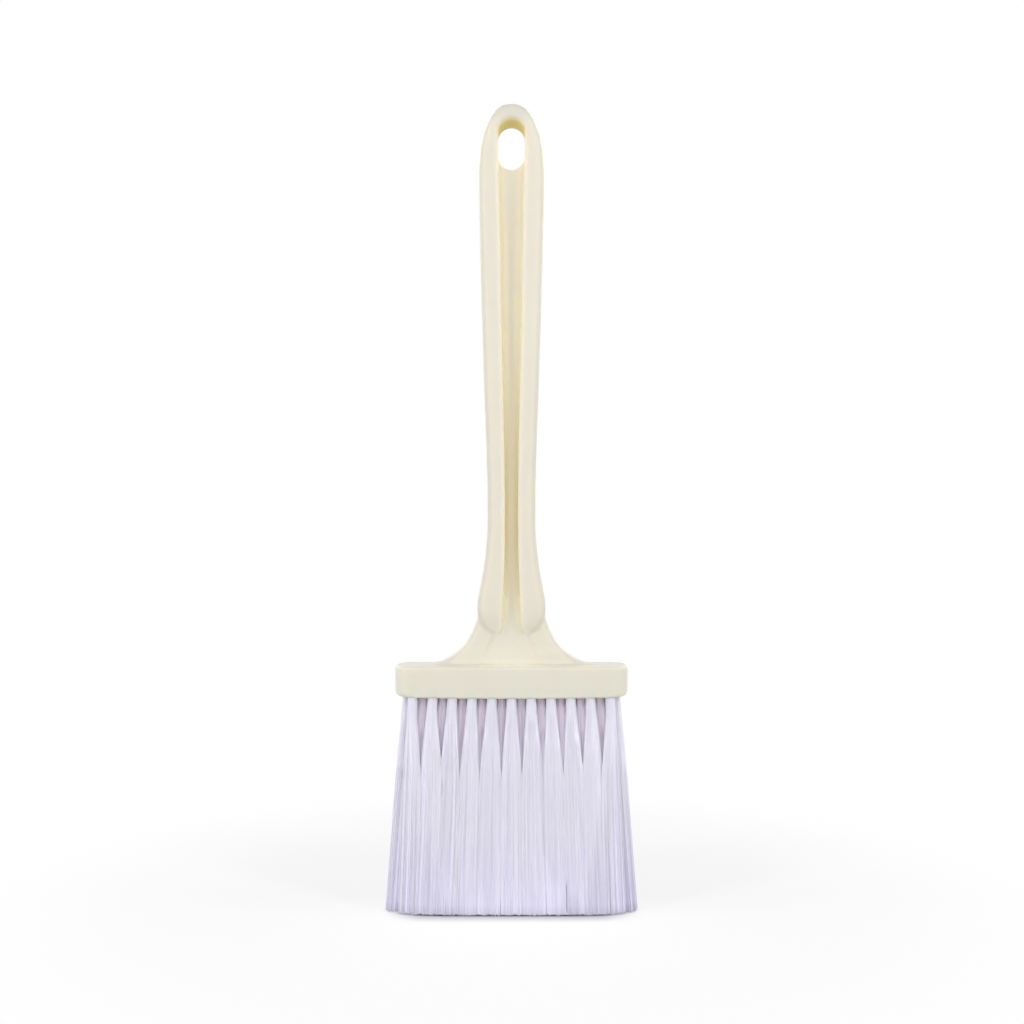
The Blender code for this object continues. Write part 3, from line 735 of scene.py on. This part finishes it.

# Painted shade: the thick block is tinted a little greyer than the handle
BLOCK_PAINTED_SHADE = (0.985, 1.000, 1.000)
BLOCK_BAND = (-0.0006, 0.0002)  # goes out between these heights from its top

# Painted shade: the handle's outer edges are tinted greyer too. A point is on an edge by how much it faces
# front or back, and the groove's edges are left out by their distance from the middle line or the middle of
# the arch
EDGE_SHADE_FACINGS = ((0.10, BLACK), (0.28, WHITE), (0.76, WHITE), (0.91, BLACK))
EDGE_REACH = (0.0050, 0.0065)
EDGE_PAINTED_SHADE = (0.930, 0.940, 0.925)
# Painted shade on the top of the arch too, between these heights from its middle
ARCH_HEIGHTS = (0.0035, 0.0065)
ARCH_PAINTED_SHADE = (0.905, 0.915, 0.935)
# Painted shade on the band where the foot meets the block too, at shares of the way between these heights
# from its top
SHOULDER_HEIGHTS = (-0.0007, 0.0046)
SHOULDER_PAINTED_SHADE = (
    (0.0, WHITE), (0.15, (0.940, 0.950, 0.975)), (0.50, (0.935, 0.937, 0.960)), (1.0, WHITE),
)

# Bristles
FILAMENT_SHADES = ((0.0, (0.835, 0.812, 0.985)), (1.0, (0.980, 0.964, 1.000)))
FILAMENT_FINISH = {"Roughness": 0.45, "IOR": 1.50, "Specular IOR Level": 0.35}
BUNDLE_SHADES = ((0.3, (0.855, 0.833, 0.988)), (0.7, (0.910, 0.890, 1.000)))
BUNDLE_FINISH = {"Roughness": 0.5, "Specular IOR Level": 0.3}
BUNDLE_LINES = (2400.0, 2400.0, 60.0)
BUNDLE_DETAIL = 2.0
# Painted bounce light and shade: the tufts seen in the gaps turn pinker and a little darker towards the block
PAINTED_BOUNCE_PINK = (0.975, 0.885, 1.000)
PAINTED_BOUNCE_HEIGHTS = (0.040, 0.064)
# What the open tufts' colour is multiplied by, at shares of their height: they are in shade at both ends
TUFT_HEIGHT = 0.070
SHADE_TINTS = (
    (0.0, (0.81, 0.80, 0.86)), (0.05, (0.945, 0.945, 0.990)), (0.40, WHITE), (0.80, WHITE),
    (0.95, (0.905, 0.910, 0.905)),
)

# Anchors
WIRE_FINISH = {"Base Color": (0.56, 0.55, 0.52, 1.0), "Metallic": 1.0}
WIRE_LINES = (300.0, 3000.0, 6000.0)
WIRE_DETAIL = 3.0
WIRE_ROUGHNESS = (0.25, 0.45)


def new_material(name, finish):
    """A material with its nodes and its shader, and what is the same all over the surface set."""
    material = bpy.data.materials.new(name)
    material.use_nodes = True
    shader = material.node_tree.nodes["Principled BSDF"]
    for key, value in finish.items():
        shader.inputs[key].default_value = value
    return material, material.node_tree, shader


def add_node(tree, kind, inputs=None, **settings):
    """A new node. Each of its inputs is joined to another node's output, or set."""
    node = tree.nodes.new(kind)
    for key, value in settings.items():
        setattr(node, key, value)
    for key, value in (inputs or {}).items():
        if isinstance(value, bpy.types.NodeSocket):
            tree.links.new(value, node.inputs[key])
        else:
            node.inputs[key].default_value = value
    return node


def colour_ramp(tree, factor, stops):
    ramp = add_node(tree, "ShaderNodeValToRGB", {"Fac": factor})
    elements = ramp.color_ramp.elements
    for place, _ in stops[2:]:
        elements.new(place)
    for element, (place, colour) in zip(elements, sorted(stops)):
        element.position = place
        element.color = (*colour, 1.0)
    return ramp.outputs["Color"]


def multiplied(tree, colour, *tints):
    for tint in tints:
        product = add_node(
            tree, "ShaderNodeMix", {"Factor": 1.0, "A": colour, "B": tint},
            data_type="RGBA", blend_type="MULTIPLY",
        )
        colour = product.outputs["Result"]
    return colour


def mixed(tree, factor, first, second):
    inputs = {"Factor": factor, "A": first, "B": (*second, 1.0)}
    return add_node(tree, "ShaderNodeMix", inputs, data_type="RGBA").outputs["Result"]


def mapped(tree, value, span, onto=(0.0, 1.0), **settings):
    """Where a value is in a span, as a place in another span."""
    node = add_node(
        tree, "ShaderNodeMapRange",
        {"Value": value, "From Min": span[0], "From Max": span[1], "To Min": onto[0], "To Max": onto[1]},
        **settings,
    )
    return node.outputs["Result"]


def maths(tree, operation, first, second=0.0):
    return add_node(tree, "ShaderNodeMath", {0: first, 1: second}, operation=operation).outputs[0]


def parts_of(tree, vector):
    return add_node(tree, "ShaderNodeSeparateXYZ", {0: vector}).outputs


def length_of(tree, vector):
    return add_node(tree, "ShaderNodeVectorMath", {0: vector}, operation="LENGTH").outputs["Value"]


def object_place(tree):
    return add_node(tree, "ShaderNodeTexCoord").outputs["Object"]


def open_view(tree, reach, samples, **settings):
    """How much of the view from a point has nothing within reach."""
    node = add_node(tree, "ShaderNodeAmbientOcclusion", {"Distance": reach}, samples=samples, **settings)
    return node.outputs["AO"]


def lines_of(tree, stretch, detail):
    """Fine lines, from a noise that is drawn out along them."""
    place = add_node(tree, "ShaderNodeMapping", {"Vector": object_place(tree), "Scale": stretch})
    noise = add_node(tree, "ShaderNodeTexNoise", {"Vector": place.outputs[0], "Scale": 1.0, "Detail": detail})
    return noise.outputs["Fac"]


def handle_painted_shade(tree, block_top, arch_middle, above_block):
    """Painted shade: what the plastic's colour is multiplied by at the handle's outer edges, its foot and its
    arch.
    """
    x, _, z = parts_of(tree, object_place(tree))
    facing = parts_of(tree, add_node(tree, "ShaderNodeTexCoord").outputs["Normal"])["Y"]
    rise = maths(tree, "SUBTRACT", z, arch_middle)
    out = add_node(tree, "ShaderNodeCombineXYZ", {"X": x, "Z": maths(tree, "MAXIMUM", rise, 0.0)}).outputs[0]
    sloped = colour_ramp(tree, maths(tree, "ABSOLUTE", facing), EDGE_SHADE_FACINGS)
    edge = maths(tree, "MULTIPLY", sloped, mapped(tree, length_of(tree, out), EDGE_REACH))
    edge = maths(tree, "MULTIPLY", edge, above_block)
    shoulder = mapped(tree, z, [block_top + height for height in SHOULDER_HEIGHTS])
    return (
        colour_ramp(tree, edge, ((0.0, WHITE), (1.0, EDGE_PAINTED_SHADE))),
        colour_ramp(tree, shoulder, SHOULDER_PAINTED_SHADE),
        colour_ramp(tree, mapped(tree, rise, ARCH_HEIGHTS), ((0.0, WHITE), (1.0, ARCH_PAINTED_SHADE))),
    )


def make_ivory(block_top, arch_middle):
    """Satin moulded plastic: faintly cloudy, with a fine grain in its skin.

    The plastic lets some light through. Painted light and shade deepen its colour in its grooves and most of
    all inside the arch of the slot, and painted shade makes the block, the handle's edges, the top of its
    arch and the foot's band over the block greyer. Both arguments are heights, the second that of the middle
    of the arch's curve.
    """
    material, tree, shader = new_material("ivory_moulded_plastic", IVORY_FINISH)
    place = object_place(tree)
    height = parts_of(tree, place)["Z"]
    cloud, grain = (
        add_node(tree, "ShaderNodeTexNoise", {"Vector": place, **noise}).outputs["Fac"]
        for noise in (CLOUD_NOISE, GRAIN_NOISE)
    )
    recess, crease = (
        open_view(tree, reach, VIEW_SAMPLES, only_local=True) for reach in (RECESS_REACH, CREASE_REACH)
    )
    above_block = mapped(tree, height, [block_top + band for band in BLOCK_BAND])
    # The cloudy colour times painted light and shade: hollows, creases, block, edges, foot band and arch top
    body = multiplied(
        tree,
        colour_ramp(tree, cloud, CLOUD_SHADES),
        colour_ramp(tree, recess, RECESS_PAINTED_LIGHT),
        colour_ramp(tree, crease, CREASE_PAINTED_SHADE),
        colour_ramp(tree, above_block, ((0.0, BLOCK_PAINTED_SHADE), (1.0, WHITE))),
        *handle_painted_shade(tree, block_top, arch_middle, above_block),
    )
    # Painted amber shade inside the arch of the slot, where it is high and little of the view is open
    above_middle = mapped(tree, height, [arch_middle + band for band in SLOT_BAND])
    arch_painted_amber_mask = maths(tree, "MULTIPLY", above_middle, mapped(tree, recess, SLOT_VIEWS))
    bump = add_node(tree, "ShaderNodeBump", {"Height": grain, **GRAIN_BUMP})
    tree.links.new(mixed(tree, arch_painted_amber_mask, body, SLOT_PAINTED_AMBER), shader.inputs["Base Color"])
    tree.links.new(mapped(tree, cloud, CLOUD_SPAN, IVORY_ROUGHNESS), shader.inputs["Roughness"])
    tree.links.new(bump.outputs["Normal"], shader.inputs["Normal"])
    return material


def with_painted_bounce(tree, colour):
    """Painted bounce light and shade: the colour turns pinker towards the block, for tufts seen in the gaps
    between others.
    """
    near = mapped(tree, parts_of(tree, object_place(tree))["Z"], PAINTED_BOUNCE_HEIGHTS)
    return mixed(tree, near, colour, PAINTED_BOUNCE_PINK)


def shaded(tree, colour):
    """A colour that is a little darker at both ends of a tuft."""
    height = mapped(tree, parts_of(tree, object_place(tree))["Z"], (0.0, TUFT_HEIGHT))
    return multiplied(tree, colour, colour_ramp(tree, height, SHADE_TINTS))


def make_lavender(name, inner):
    """Fine synthetic filament. Each filament's tint differs a little from the next one's."""
    material, tree, shader = new_material(name, FILAMENT_FINISH)
    island = add_node(tree, "ShaderNodeNewGeometry").outputs["Random Per Island"]
    colour = colour_ramp(tree, island, FILAMENT_SHADES)
    tree.links.new((with_painted_bounce if inner else shaded)(tree, colour), shader.inputs["Base Color"])
    return material


def make_packed(name, inner):
    """Filaments packed side by side: fine lines that run down the tuft."""
    material, tree, shader = new_material(name, BUNDLE_FINISH)
    colour = colour_ramp(tree, lines_of(tree, BUNDLE_LINES, BUNDLE_DETAIL), BUNDLE_SHADES)
    tree.links.new((with_painted_bounce if inner else shaded)(tree, colour), shader.inputs["Base Color"])
    return material


def make_steel():
    """The anchors' flat wire, drawn along its length."""
    material, tree, shader = new_material("anchor_flat_wire", WIRE_FINISH)
    rough = mapped(tree, lines_of(tree, WIRE_LINES, WIRE_DETAIL), (0.0, 1.0), WIRE_ROUGHNESS)
    tree.links.new(rough, shader.inputs["Roughness"])
    return material


def dress_anchors(nodes, material):
    for name, node in nodes.items():
        if name.startswith("anchor_"):
            node.data.materials.clear()
            node.data.materials.append(material)


# Studio

FLOOR_SIZE = 6.0
FLOOR_GLOW = 0.703
FLOOR_SHADE = 0.360
FLOOR_COLOUR = 0.80
CONTACT_REACH = 0.008
CONTACT_POWER = 1.7
CONTACT_SAMPLES = 16
CONTACT_ENDS = (0.030, 0.042)  # the contact shadow fades out between these, where the side lamps reach under
SHADOW_REACH = (0.08, 0.20)  # past the first the floor fades to plain white, and past the second it is white
WORLD_LEVEL = 0.30

# Each lamp: name, where it stands, width and height, power
FRONT_LAMPS = (
    ("left_softbox", (-0.93, -0.73, 0.56), (0.30, 1.40), 5.4),
    ("right_softbox", (0.90, -0.75, 0.56), (0.26, 1.40), 5.2),
    ("front_softbox", (0.0, -1.30, 0.36), (1.20, 0.76), 4.0),
    ("left_edge", (-1.14, -0.20, 0.45), (0.40, 1.20), 3.5),
    ("right_edge", (1.14, -0.20, 0.45), (0.40, 1.20), 3.5),
)
# These light the brush's back and leave the floor as it is
BACK_LAMPS = (
    ("back_left_softbox", (-0.80, 0.95, 0.90), (0.50, 0.90), 6.2),
    ("back_right_softbox", (0.80, 0.95, 0.90), (0.50, 0.90), 6.2),
)
LAMP_AIM = Vector((0.0, 0.0, 0.12))


def grey(level):
    return (level, level, level, 1.0)


def sees_backdrop(tree):
    """1 for rays that show the background, straight from the camera or by way of a shiny or clear surface."""
    path = add_node(tree, "ShaderNodeLightPath").outputs
    found = maths(tree, "MAXIMUM", path["Is Camera Ray"], path["Is Glossy Ray"])
    return maths(tree, "MAXIMUM", found, path["Is Transmission Ray"])


def mixed_shaders(tree, factor, first, second):
    shaders = {0: factor, 1: first.outputs[0], 2: second.outputs[0]}
    return add_node(tree, "ShaderNodeMixShader", shaders)


def make_floor():
    """A white floor. The camera sees it near white, with the brush's shadow still on it."""
    mesh = bpy.data.meshes.new("floor")
    half = FLOOR_SIZE / 2
    corners = [(-half, -half, 0), (half, -half, 0), (half, half, 0), (-half, half, 0)]
    mesh.from_pydata(corners, [], [(0, 1, 2, 3)])
    floor = bpy.data.objects.new("floor", mesh)
    bpy.context.scene.collection.objects.link(floor)
    material = bpy.data.materials.new("floor")
    material.use_nodes = True
    tree = material.node_tree
    tree.nodes.clear()
    place = object_place(tree)
    # Painted contact shadow: the glow the camera sees darkens where the brush is near, fading out past its
    # ends
    dark = maths(tree, "POWER", open_view(tree, CONTACT_REACH, CONTACT_SAMPLES), CONTACT_POWER)
    near_end = mapped(tree, maths(tree, "ABSOLUTE", parts_of(tree, place)["X"]), CONTACT_ENDS)
    contact = mixed(tree, near_end, dark, WHITE)
    glow = add_node(tree, "ShaderNodeEmission", {"Color": contact, "Strength": FLOOR_GLOW})
    shade = add_node(tree, "ShaderNodeBsdfDiffuse", {"Color": grey(FLOOR_SHADE)})
    seen = add_node(tree, "ShaderNodeAddShader", {0: glow.outputs[0], 1: shade.outputs[0]})
    white = add_node(tree, "ShaderNodeEmission", {"Strength": 1.0})
    plain = add_node(tree, "ShaderNodeBsdfDiffuse", {"Color": grey(FLOOR_COLOUR)})
    fade = mapped(tree, length_of(tree, place), SHADOW_REACH, interpolation_type="SMOOTHSTEP")
    mix = mixed_shaders(tree, sees_backdrop(tree), plain, mixed_shaders(tree, fade, seen, white))
    add_node(tree, "ShaderNodeOutputMaterial", {"Surface": mix.outputs[0]})
    mesh.materials.append(material)


def make_world():
    """Even white light all round, and a white backdrop where the camera looks past the floor."""
    world = bpy.data.worlds.new("studio")
    bpy.context.scene.world = world
    world.use_nodes = True
    tree = world.node_tree
    tree.nodes.clear()
    light = add_node(tree, "ShaderNodeBackground", {"Color": grey(1.0), "Strength": WORLD_LEVEL})
    backdrop = add_node(tree, "ShaderNodeBackground", {"Color": grey(1.0), "Strength": 1.0})
    mix = mixed_shaders(tree, sees_backdrop(tree), light, backdrop)
    add_node(tree, "ShaderNodeOutputWorld", {"Surface": mix.outputs[0]})


def make_lamps(lamps, lit=None):
    """Makes lamps that light everything, or only the objects of the collection lit."""
    for name, place, (width, height), power in lamps:
        lamp = bpy.data.lights.new(name, "AREA")
        lamp.shape = "RECTANGLE"
        lamp.size, lamp.size_y = width, height
        lamp.energy = power
        thing = bpy.data.objects.new(name, lamp)
        bpy.context.scene.collection.objects.link(thing)
        thing.location = place
        thing.rotation_euler = (LAMP_AIM - Vector(place)).to_track_quat("-Z", "Y").to_euler()
        if lit:
            thing.light_linking.receiver_collection = lit


def make_camera():
    camera = bpy.data.cameras.new("camera")
    camera.sensor_width = SENSOR_WIDTH * MILLIMETRES
    camera.lens = camera.sensor_width * CAMERA_DISTANCE / FRAME_WIDTH
    camera.clip_start, camera.clip_end = CAMERA_CLIP
    thing = bpy.data.objects.new("camera", camera)
    bpy.context.scene.collection.objects.link(thing)
    thing.location = (CAMERA_SIDE, -CAMERA_DISTANCE, CAMERA_HEIGHT)
    thing.rotation_euler = (math.pi / 2, 0.0, 0.0)
    bpy.context.scene.camera = thing


def plain_box(bounds):
    return [[float(number) for number in corner] for corner in bounds]


def main():
    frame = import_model()
    cad_box = plain_box(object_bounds())
    nodes = frame["nodes"]
    bpy.context.scene.view_settings.view_transform = "Standard"
    make_camera()
    make_world()
    make_lamps(FRONT_LAMPS)
    make_floor()
    tufts = read_tufts(nodes)
    bottom, top = (corner.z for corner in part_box(HANDLE))
    make_moulding(tufts, make_ivory(bottom + BLOCK_HEIGHT, top - SLOT_BRIDGE - SLOT_WIDTH / 2))
    dress_anchors(nodes, make_steel())
    # Open tufts get painted shade at both ends, the tufts in the gaps painted bounce light and shade
    outer_painted_shade_materials = make_lavender("lavender_filament", False), make_packed("lavender_bundle", False)
    inner_painted_bounce_materials = make_lavender("inner_lavender_filament", True), make_packed("inner_lavender_bundle", True)
    mouths = np.array([tuft["mouth"][:2] for tuft in tufts])
    rng = np.random.default_rng(SEED)
    for tuft in tufts:
        tuft["field"] = np.array(cad_box[1][:2])
        tuft["mouth_field"] = np.abs(mouths).max(0) + TUFT_DIAMETER / 2
        hidden = "middle" in tuft["name"] and not tuft["name"].endswith(END_TUFTS)
        make_tuft(tuft, rng, *(inner_painted_bounce_materials if hidden else outer_painted_shade_materials))
    brush = bpy.data.collections.new("brush")
    for thing in bpy.context.scene.objects:
        if thing.type == "MESH" and thing.name != "floor":
            brush.objects.link(thing)
    make_lamps(BACK_LAMPS, brush)


main()
